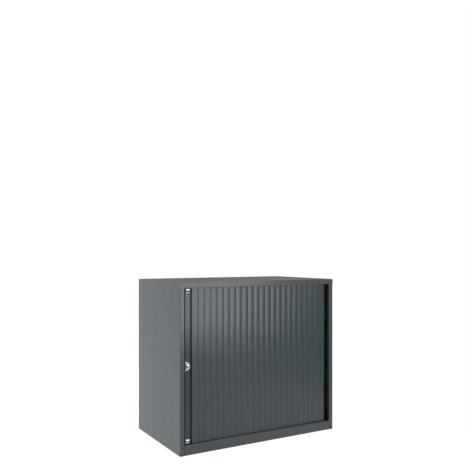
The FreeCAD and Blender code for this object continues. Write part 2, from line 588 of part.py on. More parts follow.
# Shelf strips: slotted channels spot welded upright to the left side and to the liner
strip_z = ("floor_rise", f"{track_under} - strip_head")
slot_room = f"({strip_z[1]}) - ({strip_z[0]}) - slot_foot - slot_height"
last_slot = f"floor(({slot_room}) / slot_pitch)"
strip_line = [("0", "-strip_width / 2"), ("strip_depth", "-strip_width / 2"),
              ("strip_depth", "strip_width / 2"), ("0", "strip_width / 2")]
walls = {"left": (skins[0], "+"), "right": (liner_x, "-")}
strip_y = {"front": f"{front} + strip_inset", "rear": f"{back} - strip_inset"}
for side, (wall, sign) in walls.items():
    for end, y in strip_y.items():
        strip = extruded(f"{side}_{end}_channel", "XY", [folded(strip_line)], *strip_z)
        pocket = strip.newObject("PartDesign::Pocket", f"{side}_{end}_slot")
        pocket.Profile = sketch_on(strip, f"{side}_{end}_slot_outline", "YZ", [rectangle(
            ("-slot_width / 2", "slot_width / 2"), ("slot_foot", "slot_foot + slot_height"))])
        pocket.Type = "ThroughAll"
        pocket.Midplane = True
        row_of_slots = strip.newObject("PartDesign::LinearPattern", f"{side}_{end}_slots")
        row_of_slots.Originals = [pocket]
        row_of_slots.Direction = (origin_feature(strip, "Z_Axis"), [""])
        row_of_slots.setExpression("Length", named(f"{last_slot} * slot_pitch"))
        row_of_slots.setExpression("Occurrences", named(f"{last_slot} + 1"))
        strip.Tip = row_of_slots
        place(strip, wall, y, strip_z[0])
        strip.Placement.Rotation = FreeCAD.Rotation(AXES["z"], {"+": 0, "-": 180}[sign])
        keep(strip, f"{side}_{end}_strip")

# Shelf: a folded tray, open at its ends, that rests on four clips
shelf_x = (f"{skins[0]} + strip_depth + shelf_play", f"{liner_x} - strip_depth - shelf_play")
shelf_y = (f"{liner_front} + shelf_set", f"{liner_back} - shelf_set")
hooked_slot = "floor_rise + slot_foot + shelf_slot * slot_pitch"
shelf_top = f"{hooked_slot} + slot_height + clip_gauge + gauge"
shelf_low = f"{shelf_top} - shelf_skirt"
keep(extruded("shelf_tray", "YZ", [folded([
    (f"{shelf_y[1]} - shelf_lip", shelf_low), (shelf_y[1], shelf_low), (shelf_y[1], shelf_top),
    (shelf_y[0], shelf_top), (shelf_y[0], shelf_low), (f"{shelf_y[0]} + shelf_lip", shelf_low)])],
    *shelf_x), "shelf")

# Shelf clips: bent steel, each hooked into a slot of its strip, with a tab under the shelf
tab_top = f"{shelf_top} - gauge - clip_fit"
tab_z = (f"{tab_top} - clip_gauge", tab_top)
tongue_low = f"{hooked_slot} + clip_fit"
tongue_z = (tongue_low, f"{tongue_low} + clip_tongue")
face, behind_web = "strip_depth + clip_fit", "strip_depth - gauge - clip_fit"
clip_parts = {
    "leg": ((face, f"{face} + clip_gauge"), (f"{tab_z[0]} - clip_leg", tab_top)),
    "tab": ((face, f"{face} + clip_tab"), tab_z),
    "tongue": ((f"{behind_web} - clip_hook", face), tongue_z),
    "hook": ((f"{behind_web} - clip_hook", behind_web), (f"{tongue_z[0]} - clip_tongue", tongue_z[1]))}
clips = []
for side, (wall, sign) in walls.items():
    for end, y in strip_y.items():
        across = (f"{y} - clip_width / 2", f"{y} + clip_width / 2")
        pieces = []
        for name, (reach, span) in clip_parts.items():
            places = [f"{wall} {sign} ({distance})" for distance in reach]
            if sign == "-":
                places.reverse()
            pieces.append(block(f"{side}_{end}_{name}", places, across, span))
        clips.append(join(f"{side}_{end}_clip", pieces))
keep(group("clips", clips), "shelf_clips")

doc.recompute()
for part in doc.Objects:
    if "Invalid" in part.State or "Error" in part.State:
        raise RuntimeError(f"{part.Label} could not be made: {part.State}")
for part in sub_parts:
    if part.Shape.isNull() or not part.Shape.isValid() or not part.Shape.Solids:
        raise RuntimeError(f"{part.Label} is not a sound solid")

os.makedirs("parts", exist_ok=True)
for part in sub_parts:
    part.Shape.exportStep(f"parts/{part.Label}.step")
print(f"{len(sub_parts)} pieces")
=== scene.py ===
import math

import bmesh
import bpy
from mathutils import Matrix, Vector


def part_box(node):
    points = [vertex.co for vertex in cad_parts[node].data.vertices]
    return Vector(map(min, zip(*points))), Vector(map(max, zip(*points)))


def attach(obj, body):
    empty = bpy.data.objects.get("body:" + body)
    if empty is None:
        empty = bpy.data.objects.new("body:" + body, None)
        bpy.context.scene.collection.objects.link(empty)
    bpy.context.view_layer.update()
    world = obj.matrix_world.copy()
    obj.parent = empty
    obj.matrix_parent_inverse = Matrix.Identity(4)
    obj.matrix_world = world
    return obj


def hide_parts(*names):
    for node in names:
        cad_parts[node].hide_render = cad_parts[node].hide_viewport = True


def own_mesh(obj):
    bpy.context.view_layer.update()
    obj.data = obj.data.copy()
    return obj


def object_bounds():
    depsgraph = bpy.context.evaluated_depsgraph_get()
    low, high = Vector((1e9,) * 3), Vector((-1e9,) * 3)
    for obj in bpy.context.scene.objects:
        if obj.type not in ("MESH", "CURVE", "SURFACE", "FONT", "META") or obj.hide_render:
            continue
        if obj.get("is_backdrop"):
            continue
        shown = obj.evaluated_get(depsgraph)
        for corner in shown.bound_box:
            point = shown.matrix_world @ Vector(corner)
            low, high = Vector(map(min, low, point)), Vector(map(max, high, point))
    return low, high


# A low roll front cabinet of folded sheet steel, in anthracite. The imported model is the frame,
# in metres, with the front facing -Y, +X to the right and the floor at z = 0.
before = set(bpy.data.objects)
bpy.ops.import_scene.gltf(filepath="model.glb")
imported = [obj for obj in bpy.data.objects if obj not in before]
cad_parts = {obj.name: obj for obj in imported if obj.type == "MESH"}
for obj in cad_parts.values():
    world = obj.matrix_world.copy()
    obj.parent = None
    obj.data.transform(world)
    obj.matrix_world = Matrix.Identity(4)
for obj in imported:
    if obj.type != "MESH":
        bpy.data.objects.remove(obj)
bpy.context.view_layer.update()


# The carcass: side panels, top, rails, deck, liners, back, shelf and slotted strips. Sheet steel
# 1 mm thick, folded on a press brake, spot welded and then powder coated in one colour inside
# and out. The coat melts to an even satin film with a very fine orange peel.
MM = 0.001


def linear(text):
    """An sRGB colour such as #808080 as linear red, green, blue and alpha."""
    parts = [int(text[place:place + 2], 16) / 255 for place in (1, 3, 5)]
    light = [part / 12.92 if part <= 0.04045 else ((part + 0.055) / 1.055) ** 2.4 for part in parts]
    return light + [1]


def add(tree, kind, settings=None, links=None, stops=()):
    """Add one shader node, with its settings and socket values, what feeds its sockets, and the
    place and colour of each stop of a ramp."""
    node = tree.nodes.new("ShaderNode" + kind)
    for name, value in (settings or {}).items():
        if isinstance(name, str) and hasattr(node, name):
            setattr(node, name, value)
        else:
            node.inputs[name].default_value = value
    for name, source in (links or {}).items():
        tree.links.new(source, node.inputs[name])
    for number, (place, colour) in enumerate(stops):
        stop = node.color_ramp.elements[number]
        stop.position, stop.color = place, linear(colour)
    return node


def surface(name):
    """A new material with an empty tree: the material, the tree and its output node."""
    material = bpy.data.materials.new(name)
    material.use_nodes = True
    material.node_tree.nodes.clear()
    return material, material.node_tree, add(material.node_tree, "OutputMaterial")


def per_metre(millimetres):
    """The scale of a noise texture whose features are this far apart."""
    return 1 / (millimetres * MM)


# Polyester powder coat: what the eye sees is an even anthracite, a soft clear reflection of the
# studio, and a slight waviness that sheet metal has from rolling and folding.
COAT_DARK, COAT_LIGHT = "#3b4448", "#3f484c"
COAT_ROUGHNESS, COAT_UNEVEN = 0.24, 0.02
COAT_CLOUD = 60                                 # mm from one slightly darker patch to the next
COAT_PEEL, COAT_PEEL_HEIGHT = 3, 0.005          # mm, drawn coarser than the real 1 mm to show
SHEET_WAVE, SHEET_WAVE_HEIGHT = 190, 0.06       # mm, rolled sheet between its folds
NOISE_LOW, NOISE_HIGH = 0.3, 0.7                # nearly all values of a noise lie between these


def powder_coat(name, dark, light, roughness, wave_height):
    """Powder coated steel, a little rougher or smoother, on flatter or wavier sheet."""
    material, tree, out = surface(name)
    place = add(tree, "TexCoord").outputs["Object"]
    peel = add(tree, "TexNoise", {"Scale": per_metre(COAT_PEEL), "Detail": 2}, {"Vector": place})
    cloud = add(tree, "TexNoise", {"Scale": per_metre(COAT_CLOUD), "Detail": 3}, {"Vector": place})
    wave = add(tree, "TexNoise", {"Scale": per_metre(SHEET_WAVE), "Detail": 0}, {"Vector": place})
    shade = add(tree, "ValToRGB", links={"Fac": cloud.outputs["Fac"]},
                stops=[(NOISE_LOW, dark), (NOISE_HIGH, light)])
    sheen = add(tree, "MapRange", {"To Min": roughness - COAT_UNEVEN, "To Max": roughness + COAT_UNEVEN},
                {"Value": cloud.outputs["Fac"]})
    bent = add(tree, "Bump", {"Strength": 1, "Distance": wave_height * MM},
               {"Height": wave.outputs["Fac"]})
    rough = add(tree, "Bump", {"Strength": 1, "Distance": COAT_PEEL_HEIGHT * MM},
                {"Height": peel.outputs["Fac"], "Normal": bent.outputs["Normal"]})
    coat = add(tree, "BsdfPrincipled", {"IOR": 1.5}, {
        "Base Color": shade.outputs["Color"], "Roughness": sheen.outputs["Result"],
        "Normal": rough.outputs["Normal"]})
    tree.links.new(coat.outputs["BSDF"], out.inputs["Surface"])
    return material


def finish_nodes(material, names):
    """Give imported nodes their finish."""
    for name in names:
        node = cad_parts[name]
        for place in node.material_slots:
            place.material = material


steel_coat = powder_coat("powder_coated_sheet_steel_anthracite", COAT_DARK, COAT_LIGHT,
                         COAT_ROUGHNESS, SHEET_WAVE_HEIGHT)
finish_nodes(steel_coat, [
    "left_side_panel", "right_side_panel", "top_panel", "bottom_rail", "base_panel", "back_panel",
    "inner_side_panel", "inner_back_panel", "floor_panel", "shelf", "left_front_strip",
    "left_rear_strip", "right_front_strip", "right_rear_strip"])


# The roll front: 25 upright slats. Extruded hard PVC strips, dyed through to the colour of the
# steel, crowned in front and bevelled behind. A steel pin in each end runs in the tracks and
# hinges one strip to the next.
SLATS = 25
SLAT_PITCH, SLAT_GAP = 30.4, 0.7                # mm, from here to SLAT_HIGH
SLAT_EDGE, SLAT_CROWN, SLAT_BACK, SLAT_LAND, SLAT_BEVEL = 2.6, 1.0, 2.6, 0.2, 1.6
SLAT_ROUND, SLAT_SLOPE = 0.8, 10                # the slope in degrees, where crown and round meet
SLAT_LOW, SLAT_HIGH = 40.5, 695.5
CROWN_STEPS, ROUND_STEPS = 12, 3
PIN_RADIUS, PIN_SIDES = 2.4, 24
PIN_ALONE = 1                                   # mm under the strips, where there are only pins


def pin_spot(index):
    """Where the pin at a slat's right edge stands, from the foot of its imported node."""
    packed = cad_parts[f"tambour_slat_{index:02d}"].data
    foot = [vertex.co for vertex in packed.vertices if vertex.co.z < (SLAT_LOW - PIN_ALONE) * MM]
    return Vector([(min(co[axis] for co in foot) + max(co[axis] for co in foot)) / 2
                   for axis in (0, 1)])


def arc(centre, radius, start, end, steps):
    """Points of an arc, in degrees from +x towards +y, both ends included."""
    angles = [math.radians(start + (end - start) * step / steps) for step in range(steps + 1)]
    return [(centre[0] + radius * math.cos(a), centre[1] + radius * math.sin(a)) for a in angles]


def slat_outline():
    """The strip's section in millimetres from its left hinge, anticlockwise from above."""
    start, end = SLAT_GAP / 2, SLAT_PITCH - SLAT_GAP / 2
    half = (end - start) / 2
    radius = (half ** 2 + SLAT_CROWN ** 2) / (2 * SLAT_CROWN)
    lean = math.degrees(math.asin((half - SLAT_ROUND) / radius))
    centre = ((start + end) / 2, radius - SLAT_CROWN - SLAT_EDGE)
    crown = arc(centre, radius, -90 - lean, -90 + lean, CROWN_STEPS)
    drop = crown[-1][1] + SLAT_ROUND
    right_edge = arc((end - SLAT_ROUND, drop), SLAT_ROUND, SLAT_SLOPE - 90, 0, ROUND_STEPS)
    left_edge = arc((start + SLAT_ROUND, drop), SLAT_ROUND, 180, 270 - SLAT_SLOPE, ROUND_STEPS)
    return left_edge + crown + right_edge + [
        (end, -SLAT_LAND), (end - SLAT_BEVEL, SLAT_BACK), (start + SLAT_BEVEL, SLAT_BACK),
        (start, -SLAT_LAND)]


def run_up(mesh, outline, low, high, finish=0):
    """Run a closed outline from one height to another, with flat ends. All in metres."""
    foot, head = ([mesh.verts.new((x, y, z)) for x, y in outline] for z in (low, high))
    walls = [(foot[n - 1], foot[n], head[n], head[n - 1]) for n in range(len(outline))]
    for corners in walls + [foot[::-1], head]:
        mesh.faces.new(corners).material_index = finish


def as_piece(mesh, name, materials, body, stands_for, sharp=28):
    """Make a piece of the finished mesh, smooth but for its sharp edges, riding on its body."""
    bmesh.ops.recalc_face_normals(mesh, faces=mesh.faces)
    for edge in mesh.edges:
        edge.smooth = len(edge.link_faces) == 2 and edge.calc_face_angle() < math.radians(sharp)
    for face in mesh.faces:
        face.smooth = True
    data = bpy.data.meshes.new(name)
    mesh.to_mesh(data)
    mesh.free()
    for material in materials:
        data.materials.append(material)
    piece = bpy.data.objects.new(name, data)
    bpy.context.scene.collection.objects.link(piece)
    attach(piece, body)
    if stands_for:
        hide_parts(*stands_for)
    return piece


# Hard PVC as it leaves the die: a satin skin with faint lines drawn out along the strip
PVC_DARK, PVC_LIGHT, PVC_SMOOTH, PVC_ROUGH = "#343d41", "#384145", 0.22, 0.28
PVC_CLOUD = 45                                  # mm from one slightly darker patch to the next
DIE_LINES, DIE_LINE_HEIGHT = 2, 0.006           # mm, drawn coarser than the real 0.3 mm to show
DIE_DRAW = 0.02                                 # how short a line is across for its length
slat_plastic, tree, out = surface("extruded_hard_pvc_anthracite")
place = add(tree, "TexCoord").outputs["Object"]
drawn = add(tree, "Mapping", {"Scale": (1, 1, DIE_DRAW)}, {"Vector": place})
lines = add(tree, "TexNoise", {"Scale": per_metre(DIE_LINES), "Detail": 2},
            {"Vector": drawn.outputs["Vector"]})
cloud = add(tree, "TexNoise", {"Scale": per_metre(PVC_CLOUD), "Detail": 3}, {"Vector": place})
shade = add(tree, "ValToRGB", links={"Fac": cloud.outputs["Fac"]},
            stops=[(NOISE_LOW, PVC_DARK), (NOISE_HIGH, PVC_LIGHT)])
sheen = add(tree, "MapRange", {"To Min": PVC_SMOOTH, "To Max": PVC_ROUGH},
            {"Value": cloud.outputs["Fac"]})
ridges = add(tree, "Bump", {"Strength": 1, "Distance": DIE_LINE_HEIGHT * MM},
             {"Height": lines.outputs["Fac"]})
skin = add(tree, "BsdfPrincipled", {"IOR": 1.5}, {
    "Base Color": shade.outputs["Color"], "Roughness": sheen.outputs["Result"],
    "Normal": ridges.outputs["Normal"]})
tree.links.new(skin.outputs["BSDF"], out.inputs["Surface"])

# Zinc plating, passivated blue: bright but soft, with a faint cloudiness from the bath
ZINC_DARK, ZINC_LIGHT, ZINC_SMOOTH, ZINC_ROUGH = "#b4b8bd", "#c8cbce", 0.28, 0.42
ZINC_CLOUD = 5                                  # mm from one duller patch to the next
zinc, tree, out = surface("zinc_plated_steel")
place = add(tree, "TexCoord").outputs["Object"]
cloud = add(tree, "TexNoise", {"Scale": per_metre(ZINC_CLOUD), "Detail": 4}, {"Vector": place})
shade = add(tree, "ValToRGB", links={"Fac": cloud.outputs["Fac"]},
            stops=[(NOISE_LOW, ZINC_DARK), (NOISE_HIGH, ZINC_LIGHT)])
sheen = add(tree, "MapRange", {"To Min": ZINC_SMOOTH, "To Max": ZINC_ROUGH},
            {"Value": cloud.outputs["Fac"]})
plate = add(tree, "BsdfPrincipled", {"Metallic": 1}, {
    "Base Color": shade.outputs["Color"], "Roughness": sheen.outputs["Result"]})
tree.links.new(plate.outputs["BSDF"], out.inputs["Surface"])

section = slat_outline()
hinges = [None] + [pin_spot(index) for index in range(1, SLATS + 1)]
hinges[0] = hinges[1] - Vector((SLAT_PITCH * MM, 0))
for index in range(1, SLATS + 1):
    node_name = f"tambour_slat_{index:02d}"
    low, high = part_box(node_name)
    start, along = hinges[index - 1], (hinges[index] - hinges[index - 1]).normalized()
    across = Vector((-along.y, along.x))
    strip = bmesh.new()
    run_up(strip, [start + (along * x + across * y) * MM for x, y in section],
           SLAT_LOW * MM, SLAT_HIGH * MM)
    pin = arc(hinges[index], PIN_RADIUS * MM, 0, 360 - 360 / PIN_SIDES, PIN_SIDES - 1)
    for foot, head in ((low.z, SLAT_LOW * MM), (SLAT_HIGH * MM, high.z)):
        run_up(strip, pin, foot, head, 1)
    piece = as_piece(strip, f"slat_{index:02d}", [slat_plastic, zinc],
                     "door" if index == 1 else "cabinet", [node_name])
    if index > 1:
        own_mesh(piece)


# The leading stile and its glides. A drawn steel section, powder coated like the carcass but a
# shade smoother, with black acetal plugs in its ends whose tongues run in the tracks. Its coat
# is painted much darker than the carcass's, as painted shade on the stile. Behind its right edge
# lies the finger recess.
# The stile's two tones are far darker than the carcass's: painted shade on the stile.
STILE_DARK, STILE_LIGHT, STILE_ROUGHNESS, STILE_WAVE_HEIGHT = "#272f33", "#2b3337", 0.22, 0.03
STILE_FACE, STILE_WALL, STILE_EDGE, STILE_BACK_EDGE = 20.8, 1.6, 1.5, 0.5      # mm
RECESS_DEPTH, LIP_FRONT, LIP_EDGE = 14.4, 8.8, 0.5                             # mm
EDGE_STEPS = 4
OVERRUN = 1                                     # mm, of a cutter past the wall that it cuts
HOOK_CLEAR = 1                                  # mm round the lock's hook in its slot


def rounded(corners, steps):
    """A closed outline in millimetres with each corner, given with its radius, rounded off."""
    points = []
    for n, (x, y, radius) in enumerate(corners):
        here = Vector((x, y))
        before = (Vector(corners[n - 1][:2]) - here).normalized()
        after = (Vector(corners[(n + 1) % len(corners)][:2]) - here).normalized()
        if not radius:
            points.append((x, y))
            continue
        centre = here + (before + after) * radius
        for step in range(steps + 1):
            turn = math.pi / 2 * step / steps
            points.append(centre - (after * math.cos(turn) + before * math.sin(turn)) * radius)
    return points


def brick(mesh, low, high):
    """A plain block, used to mill slots and for the lock plug's tail."""
    corners = [(low[0], low[1]), (high[0], low[1]), (high[0], high[1]), (low[0], high[1])]
    run_up(mesh, corners, low[2], high[2])


def milled(body, tool):
    """The first mesh with the second cut out of it."""
    holders = []
    for name, mesh in (("blank", body), ("cutter", tool)):
        bmesh.ops.recalc_face_normals(mesh, faces=mesh.faces)
        data = bpy.data.meshes.new(name)
        mesh.to_mesh(data)
        mesh.free()
        holders.append(bpy.data.objects.new(name, data))
        bpy.context.scene.collection.objects.link(holders[-1])
    cutting = holders[0].modifiers.new("milling", "BOOLEAN")
    cutting.operation, cutting.solver, cutting.object = "DIFFERENCE", "EXACT", holders[1]
    seen = holders[0].evaluated_get(bpy.context.evaluated_depsgraph_get())
    result = bmesh.new()
    result.from_mesh(seen.to_mesh())
    seen.to_mesh_clear()
    for holder in holders:
        bpy.data.objects.remove(holder)
    return result


stile_coat_painted_shade = powder_coat("powder_coated_steel_section_painted_shade", STILE_DARK, STILE_LIGHT,
                         STILE_ROUGHNESS, STILE_WAVE_HEIGHT)
low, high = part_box("door_stile")
left, right, face, rear = (value / MM for value in (low.x, high.x, low.y, high.y))
edge = left + STILE_FACE
outline = rounded([
    (left, face, STILE_EDGE), (edge, face, STILE_EDGE), (edge, face + RECESS_DEPTH, 0),
    (right - STILE_WALL, face + RECESS_DEPTH, 0), (right - STILE_WALL, face + LIP_FRONT, LIP_EDGE),
    (right, face + LIP_FRONT, LIP_EDGE), (right, rear, STILE_BACK_EDGE),
    (left, rear, STILE_BACK_EDGE)], EDGE_STEPS)
hollow = [(left + STILE_WALL, face + STILE_WALL), (edge - STILE_WALL, face + STILE_WALL),
          (edge - STILE_WALL, rear - STILE_WALL), (left + STILE_WALL, rear - STILE_WALL)]
stile = bmesh.new()
run_up(stile, [(x * MM, y * MM) for x, y in outline], low.z, high.z)
bore = bmesh.new()
run_up(bore, [(x * MM, y * MM) for x, y in hollow], low.z - OVERRUN * MM,
       high.z + OVERRUN * MM)
stile = milled(stile, bore)
# The hook of the lock comes out through a slot in the left wall
cam_low, cam_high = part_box("lock_cam")
hook_slot = bmesh.new()
brick(hook_slot,
      (low.x - OVERRUN * MM, cam_low.y - HOOK_CLEAR * MM, cam_low.z - HOOK_CLEAR * MM),
      (low.x + (STILE_WALL + OVERRUN) * MM, cam_high.y + HOOK_CLEAR * MM,
       cam_high.z + HOOK_CLEAR * MM))
stile = milled(stile, hook_slot)
as_piece(stile, "stile_section", [stile_coat_painted_shade], "door", ["door_stile"])

# Black acetal, injection moulded: dark and a little waxy, with the mould's fine grain
ACETAL_DARK, ACETAL_LIGHT, ACETAL_SMOOTH, ACETAL_ROUGH = "#131415", "#191a1b", 0.34, 0.48
ACETAL_GRAIN, ACETAL_GRAIN_HEIGHT = 1.5, 0.01   # mm, drawn coarser than the real 0.2 mm to show
acetal, tree, out = surface("moulded_acetal_black")
place = add(tree, "TexCoord").outputs["Object"]
fine = add(tree, "TexNoise", {"Scale": per_metre(ACETAL_GRAIN), "Detail": 3}, {"Vector": place})
shade = add(tree, "ValToRGB", links={"Fac": fine.outputs["Fac"]},
            stops=[(NOISE_LOW, ACETAL_DARK), (NOISE_HIGH, ACETAL_LIGHT)])
sheen = add(tree, "MapRange", {"To Min": ACETAL_SMOOTH, "To Max": ACETAL_ROUGH},
            {"Value": fine.outputs["Fac"]})
grain = add(tree, "Bump", {"Strength": 1, "Distance": ACETAL_GRAIN_HEIGHT * MM},
            {"Height": fine.outputs["Fac"]})
moulded = add(tree, "BsdfPrincipled", {"IOR": 1.48}, {
    "Base Color": shade.outputs["Color"], "Roughness": sheen.outputs["Result"],
    "Normal": grain.outputs["Normal"]})
tree.links.new(moulded.outputs["BSDF"], out.inputs["Surface"])
finish_nodes(acetal, ["lower_glide", "upper_glide", "bottom_track", "top_track"])


# The chromed caps and lock. Zinc die castings, polished and chrome plated: two half barrels on
# the ends of the stile, and the D-shaped dome round the lock's plug, which is highest beside
# the plug and ends at the left in a straight edge.

# Chrome: close to a mirror, very slightly clouded where hands have wiped it
CHROME_DARK, CHROME_LIGHT, CHROME_SMOOTH, CHROME_ROUGH = "#b0b4b8", "#babdc1", 0.03, 0.07
CHROME_CLOUD = 9                                # mm from one duller patch to the next
chrome, tree, out = surface("chrome_plated_zinc_casting")
place = add(tree, "TexCoord").outputs["Object"]
touch = add(tree, "TexNoise", {"Scale": per_metre(CHROME_CLOUD), "Detail": 4}, {"Vector": place})
shade = add(tree, "ValToRGB", links={"Fac": touch.outputs["Fac"]},
            stops=[(NOISE_LOW, CHROME_DARK), (NOISE_HIGH, CHROME_LIGHT)])
sheen = add(tree, "MapRange", {"To Min": CHROME_SMOOTH, "To Max": CHROME_ROUGH},
            {"Value": touch.outputs["Fac"]})
plate = add(tree, "BsdfPrincipled", {"Metallic": 1}, {
    "Base Color": shade.outputs["Color"], "Roughness": sheen.outputs["Result"]})
tree.links.new(plate.outputs["BSDF"], out.inputs["Surface"])

# A cap's outline from top to bottom, as its lip, its groove and its band: mm up from the foot of
# the imported cap and mm out from the stile's face. The groove takes the black acetal finish, a
# dark line of painted shade, and the band below leans downward.
LOWER_CAP = (
    [(21, 0), (21, 1.2), (20.6, 2.6), (19.8, 4.0), (18.6, 5.1), (17, 5.9), (15.6, 6.35), (14.6, 6.5)],
    [(14.3, 6.3), (14.2, 4.4), (9.8, 4.2), (9.7, 5.6)],
    [(9.4, 5.8), (8.4, 5.6), (7, 5.1), (5, 4.1), (3, 2.8), (1.4, 1.6), (0.4, 0.8), (0, 0)])
# The upper cap reaches up to the top rail, with a taller lip and a shorter band
UPPER_CAP = (
    [(22.3, 0), (22.3, 1.2), (21.8, 2.8), (20.9, 4.6), (20.2, 5.6), (19.2, 6.2), (18.2, 6.4),
     (16.6, 6.5), (13.6, 6.5)],
    [(13.3, 6.3), (13.2, 3.4), (8.3, 3.2), (8.2, 5.6)],
    [(8, 5.8), (7, 5.6), (5.6, 5.1), (4, 4.5), (3.6, 0)])
CAP_STEPS = 24
CAP_SQUARE = 8                                  # how square its two ends are, 2 being round
SAME_PLACE = 1e-6                               # m, points nearer than this are one


def end_cap(low, high, lip, groove, band):
    """One cap over its packed box, from left to right in curved columns with rounded ends."""
    casting, columns = bmesh.new(), []
    outline = lip + groove + band
    for step in range(CAP_STEPS + 1):
        across = math.sin(math.pi / 2 * (2 * step / CAP_STEPS - 1))
        swell = max(0, 1 - abs(across) ** CAP_SQUARE) ** 0.5
        columns.append([casting.verts.new((
            (low.x + high.x) / 2 + across * (high.x - low.x) / 2, high.y - out * swell * MM,
            low.z + up * MM)) for up, out in outline])
    # The groove's faces are painted black: painted shade along the groove.
    painted_shade_rows = range(len(lip), len(lip) + len(groove) - 1)
    for left, right in zip(columns, columns[1:]):
        for n in range(len(outline) - 1):
            face = casting.faces.new((left[n], left[n + 1], right[n + 1], right[n]))
            face.material_index = int(n in painted_shade_rows)
    bmesh.ops.remove_doubles(casting, verts=casting.verts, dist=SAME_PLACE)
    bmesh.ops.contextual_create(casting, geom=[edge for edge in casting.edges if edge.is_boundary])
    return casting


# Each cap's second finish, black acetal, is the painted shade in its groove.
for name, outlines in (("lower_end_cap", LOWER_CAP), ("upper_end_cap", UPPER_CAP)):
    as_piece(end_cap(*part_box(name), *outlines), name + "_casting", [chrome, acetal], "door",
             [name], sharp=40)

# The dome: a D in outline, from part of an oval with a straight left edge. It rises from a thin
# rim to its crest beside the plug, and the plug's own face carries on the same curve.
DOME_CREST, DOME_RIM = 1.2, 1.0                 # mm right of the plug, and the rim's height
DOME_OVAL, DOME_SWELL = 19.5, 0.8               # the oval's half width in mm, and how full it is
PLUG_ROUND, BORE_ROUND = 5.3, 5.6               # mm, radii of the plug and of its bore
DOME_RAYS, DOME_STEPS = 96, 12

dome_low, dome_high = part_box("lock_rosette")
plug_low, plug_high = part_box("lock_plug")
plug_x, plug_z = (plug_low.x + plug_high.x) / 2, (plug_low.z + plug_high.z) / 2
crest_x = plug_x + DOME_CREST * MM
tall, face_y = (dome_high.z - dome_low.z) / 2, dome_high.y
oval_x = dome_high.x - DOME_OVAL * MM


def to_rim(x, z, turn):
    """How far the dome's outline is from a place on it, in one direction."""
    step_x, step_z = math.cos(turn), math.sin(turn)
    off_x, off_z = (x - oval_x) / (DOME_OVAL * MM), (z - plug_z) / tall
    way_x, way_z = step_x / (DOME_OVAL * MM), step_z / tall
    a, b, c = way_x ** 2 + way_z ** 2, off_x * way_x + off_z * way_z, off_x ** 2 + off_z ** 2 - 1
    reach = (math.sqrt(b * b - a * c) - b) / a
    return min(reach, (dome_low.x - x) / step_x) if step_x < 0 else reach


def dome_rise(x, z):
    """The dome's height over the stile's face."""
    away = math.hypot(x - crest_x, z - plug_z)
    turn = math.atan2(z - plug_z, x - crest_x)
    share = away / to_rim(crest_x, plug_z, turn)
    crown = max(0, 1 - share ** 2) ** DOME_SWELL
    return DOME_RIM * MM + (dome_high.y - dome_low.y - DOME_RIM * MM) * crown


def close_rings(mesh, rings):
    """Faces between rings of points, each joined to the next all round."""
    for inner, outer in zip(rings, rings[1:]):
        for n in range(len(inner)):
            after = (n + 1) % len(inner)
            mesh.faces.new((inner[n], outer[n], outer[after], inner[after]))


dome = bmesh.new()
turns = [math.tau * ray / DOME_RAYS for ray in range(DOME_RAYS)]
rings = [[dome.verts.new((plug_x + BORE_ROUND * MM * math.cos(turn), face_y,
                          plug_z + BORE_ROUND * MM * math.sin(turn))) for turn in turns]]
for step in range(DOME_STEPS + 1):
    share = math.sin(math.pi / 2 * step / DOME_STEPS)
    ring = []
    for turn in turns:
        far = BORE_ROUND * MM + (to_rim(plug_x, plug_z, turn) - BORE_ROUND * MM) * share
        x, z = plug_x + far * math.cos(turn), plug_z + far * math.sin(turn)
        ring.append(dome.verts.new((x, face_y - dome_rise(x, z), z)))
    rings.append(ring)
rings.append([dome.verts.new((v.co.x, face_y, v.co.z)) for v in rings[-1]])
close_rings(dome, rings + rings[:1])
as_piece(dome, "lock_dome", [chrome], "door", ["lock_rosette"], sharp=50)

# The plug: turned brass, chrome plated, with the key slot down its face and a square tail. Its
# face lies just below the dome's curve and has a broken edge.
PLUG_SHARES = (0.001, 0.12, 0.3, 0.5, 0.7, 0.88, 0.97, 1)      # of its radius, ring by ring
PLUG_STEP, PLUG_EDGE = 0.25, 0.35               # mm below the dome, and more at its edge
KEY_WIDE, KEY_TALL, KEY_DEEP = 1.3, 6.0, 4.0    # mm
TAIL_SIDE, TAIL_LENGTH = 5.0, 2.0               # mm
plug = bmesh.new()
rings = []
for share in PLUG_SHARES:
    ring = []
    for turn in turns:
        x = plug_x + PLUG_ROUND * MM * share * math.cos(turn)
        z = plug_z + PLUG_ROUND * MM * share * math.sin(turn)
        drop = (PLUG_STEP + (PLUG_EDGE if share == 1 else 0)) * MM
        ring.append(plug.verts.new((x, face_y - dome_rise(x, z) + drop, z)))
    rings.append(ring)
shoulder = plug_high.y - TAIL_LENGTH * MM
rings.append([plug.verts.new((v.co.x, shoulder, v.co.z)) for v in rings[-1]])
close_rings(plug, rings)
plug.faces.new(rings[0])
plug.faces.new(rings[-1][::-1])

key_slot = bmesh.new()
half_wide, half_tall, deep = KEY_WIDE / 2 * MM, KEY_TALL / 2 * MM, KEY_DEEP * MM
brick(key_slot, (plug_x - half_wide, dome_low.y - deep, plug_z - half_tall),
      (plug_x + half_wide, plug_low.y + deep, plug_z + half_tall))
plug = milled(plug, key_slot)
half = TAIL_SIDE / 2 * MM
brick(plug, (plug_x - half, shoulder, plug_z - half), (plug_x + half, plug_high.y, plug_z + half))
as_piece(plug, "lock_plug_turned", [chrome], "lock", ["lock_plug"], sharp=40)


# The small steel parts: the lock's barrel, ring nut and arm, the keeper, the shelf's clips and
# the nuts under the deck. Turned or pressed from steel and zinc plated, like the slats' pins.
finish_nodes(zinc, ["keeper_plate", "foot_nuts", "lock_body", "lock_nut", "lock_cam", "shelf_clips"])


# The blind rivets that hold the back to the deck. Zinc plated steel with a low domed head, in
# which the drawn mandrel has left a hollow.
RIVETS, RIVET_SPAN, RIVET_Z = 6, 660, 16.5      # how many, mm from first to last, mm up
RIVET_SIDES = turns[::4]
AXIS = 0.01                                     # mm from the axis, where a turned form closes
